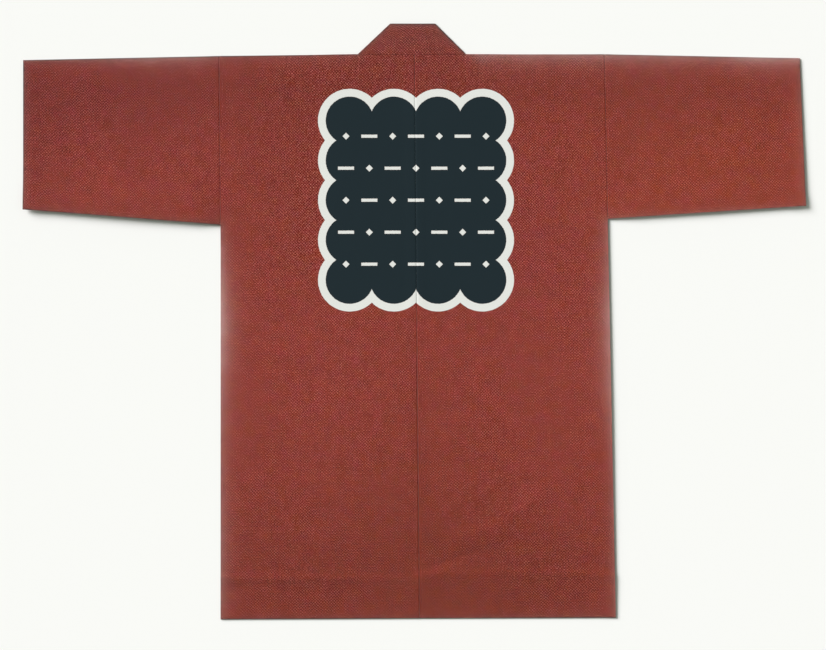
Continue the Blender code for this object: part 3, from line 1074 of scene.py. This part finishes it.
def back_print_group():
    """The print: where its dark ink lies, and where its white lies."""
    tree, given, result = new_group(
        "back_print", {"Place": "Vector", "Printed": "Float"}, {"Ink": "Float", "White": "Float"}
    )
    x, y, _ = parts_of(given["Place"])
    x, y = x - PRINT_X, y - PRINT_Y
    out_x, out_y = abs(x) - LOBES_X, abs(y) - LOBES_Y
    rough = noise(given["Place"], 420.0)

    def length_of(a, b):
        return calc("SQRT", a * a + b * b)

    def limited(value, low, high):
        return calc("MINIMUM", calc("MAXIMUM", value, low), high)

    def covered(distance):
        return distance.line(-1 / INK_EDGE, 0.5, clamp=True)

    # Lobes down both sides, and across the top and bottom
    nearest = limited(calc("ROUND", y / LOBE_PITCH_Y), -2.0, 2.0)
    side_lobes = length_of(out_x, y - nearest * LOBE_PITCH_Y) - LOBE
    nearest = limited(calc("FLOOR", x / LOBE_PITCH_X), -2.0, 1.0)
    end_lobes = length_of(out_y, x - (nearest + 0.5) * LOBE_PITCH_X) - LOBE
    inside = calc("MAXIMUM", out_x, out_y)
    away = calc("MINIMUM", calc("MINIMUM", side_lobes, end_lobes), inside)
    away = away + rough.line(0.0012, -0.0006)

    # The lattice: rows of bars with diamonds between them, every other row half a pitch aside
    row = calc("ROUND", y / ROW_PITCH)
    from_row = abs(y - row * ROW_PITCH)
    shift = calc("PINGPONG", row, 1.0) * (BAR_PITCH / 2)
    from_bar = calc("PINGPONG", x + shift, BAR_PITCH / 2)
    bar = calc("MAXIMUM", from_bar - BAR_HALF, from_row - BAR_THICK)
    diamond = (BAR_PITCH / 2 - from_bar) + from_row - DIAMOND
    edge = calc("MAXIMUM", out_x - LATTICE_PAST_LOBES, abs(y) - LATTICE_UP)
    lattice = calc("MAXIMUM", calc("MINIMUM", bar, diamond), edge)
    lattice = lattice + rough.line(0.0008, -0.0004)

    ink = covered(away) * (1.0 - covered(lattice))
    white = covered(away - PRINT_BORDER) - ink
    feed(result["Ink"], ink * given["Printed"])
    feed(result["White"], white * given["Printed"])
    return tree


def placed_group(tree, group, **inputs):
    """A group's node in a material, with its inputs fed by name: its outputs as values."""
    node = tree.nodes.new("ShaderNodeGroup")
    node.node_tree = group
    for label, value in inputs.items():
        feed(node.inputs[label.replace("_", " ")], value)
    return {socket.name: Value(tree, socket) for socket in node.outputs}


def attribute(tree, name):
    node = tree.nodes.new("ShaderNodeAttribute")
    node.attribute_name = name
    return Value(tree, node.outputs["Fac"])


def new_material(name):
    """A material, its tree, its shader's sockets and the place on the object."""
    material = bpy.data.materials.new(name)
    material.use_nodes = True
    tree = material.node_tree
    place = Value(tree, tree.nodes.new("ShaderNodeTexCoord").outputs["Object"])
    return material, tree, tree.nodes["Principled BSDF"].inputs, place


def red_cotton(name, weave, dye, back_print=None):
    material, tree, shader, place = new_material(name)
    threads = tree.nodes.new("ShaderNodeUVMap")
    threads.uv_map = "threads"
    threads = Value(tree, threads.outputs["UV"])
    woven = placed_group(tree, weave, Threads=threads, Pairs_per_metre=PAIRS_PER_METRE)
    colour = placed_group(
        tree,
        dye,
        Place=place,
        Checks=woven["Checks"],
        Slubs=woven["Slubs"],
        # Broad tones with painted light and shade, warmth, and the painted highlight on rounded
        # edges
        Lightness=attribute(tree, "lightness"),
        Warmth=attribute(tree, "warmth"),
        Faded=attribute(tree, "painted_highlight"),
    )["Color"]
    height = woven["Height"]
    roughness = COTTON_ROUGHNESS
    if back_print is not None:
        printed = placed_group(tree, back_print, Place=place, Printed=attribute(tree, "printed"))
        grain = woven["Checks"].line(0.03, 0.985, clamp=True)
        colour = colour_mix(printed["Ink"], colour, INK)
        colour = colour_mix(printed["White"] * grain, colour, PRINT_WHITE)
        covered = printed["Ink"] + printed["White"]
        height = height * covered.line(-0.6, 1.0)
        roughness = covered.line(-0.12, COTTON_ROUGHNESS)
    feed(shader["Base Color"], colour)
    feed(shader["Roughness"], roughness)
    feed(shader["Specular IOR Level"], 0.15)
    feed(shader["Sheen Weight"], 0.03)
    feed(shader["Sheen Roughness"], 0.45)
    feed(shader["Sheen Tint"], (1.0, 0.72, 0.68, 1.0))
    bump = tree.nodes.new("ShaderNodeBump")
    feed(bump.inputs["Strength"], 0.6)
    feed(bump.inputs["Distance"], 0.00008)
    feed(bump.inputs["Height"], height)
    tree.links.new(bump.outputs["Normal"], shader["Normal"])
    return material


def red_thread():
    """Cotton thread in the cloth's red, with a lighter and a darker ply."""
    material, _, shader, place = new_material("red_thread")
    feed(shader["Base Color"], colour_mix(noise(place, 2400.0, 1.0), THREAD_DARK, THREAD_LIGHT))
    feed(shader["Roughness"], 0.8)
    feed(shader["Specular IOR Level"], 0.2)
    return material


def floor_material():
    material, _, shader, place = new_material("pale_floor")
    clouds = noise(place, 9.0, 3.0).line(0.05, -0.025) + 0.5
    feed(shader["Base Color"], colour_mix(clouds, FLOOR_DARK, FLOOR_LIGHT))
    feed(shader["Roughness"], 0.95)
    feed(shader["Specular IOR Level"], 0.1)
    return material


def make_floor():
    mesh = bpy.data.meshes.new("floor")
    bm = bmesh.new()
    bmesh.ops.create_grid(bm, x_segments=8, y_segments=8, size=FLOOR_HALF)
    bm.to_mesh(mesh)
    bm.free()
    mesh.materials.append(floor_material())
    floor = bpy.data.objects.new("floor", mesh)
    bpy.context.scene.collection.objects.link(floor)


def make_light():
    """A broad soft key from the upper left, and pale light from all round."""
    key = bpy.data.lights.new("key", "SUN")
    key.energy = KEY_STRENGTH
    key.color = KEY_COLOUR
    key.angle = math.radians(KEY_SOFTNESS)
    key_object = bpy.data.objects.new("key", key)
    elevation, side = math.radians(KEY_ELEVATION), math.radians(KEY_SIDE)
    across = math.cos(elevation)
    towards = Vector((across * math.cos(side), -across * math.sin(side), -math.sin(elevation)))
    key_object.rotation_mode = "QUATERNION"
    key_object.rotation_quaternion = towards.to_track_quat("-Z", "Y")
    bpy.context.scene.collection.objects.link(key_object)

    world = bpy.data.worlds.new("studio")
    bpy.context.scene.world = world
    world.use_nodes = True
    tree = world.node_tree
    background = tree.nodes["Background"].inputs
    way = Value(tree, tree.nodes.new("ShaderNodeTexCoord").outputs["Generated"])
    _, _, up = parts_of(way)
    low = abs(up).line(-1 / HORIZON_REACH, 1.0, clamp=True)
    feed(background["Color"], SKY_COLOUR)
    feed(background["Strength"], low.line(HORIZON_STRENGTH - SKY_STRENGTH, SKY_STRENGTH))


def make_camera():
    camera = bpy.data.cameras.new("camera")
    camera.lens = VIEW_LENS
    camera.clip_end = 100.0
    camera_object = bpy.data.objects.new("camera", camera)
    camera_object.location = (VIEW_X, VIEW_Y, VIEW_HEIGHT)
    bpy.context.scene.collection.objects.link(camera_object)
    bpy.context.scene.camera = camera_object
    bpy.context.scene.view_settings.view_transform = "Standard"


def main():
    make_camera()
    make_light()
    make_floor()
    weave = plain_weave_group()
    dye = dye_and_painted_light_group()
    plain = red_cotton("red_cotton", weave, dye)
    with_print = red_cotton("red_cotton_printed", weave, dye, back_print_group())
    for half in (LEFT, RIGHT):
        body = make_body(half, with_print)
        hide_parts("body_" + half.side)
        sleeve = make_sleeve(half, plain)
        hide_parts("sleeve_" + half.side)
        for piece in (body, sleeve):
            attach(piece, "root")
    collar = make_collar(plain)
    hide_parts("collar")
    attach(collar, "root")
    stitches = make_stitches(red_thread())
    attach(stitches, "root")


main()
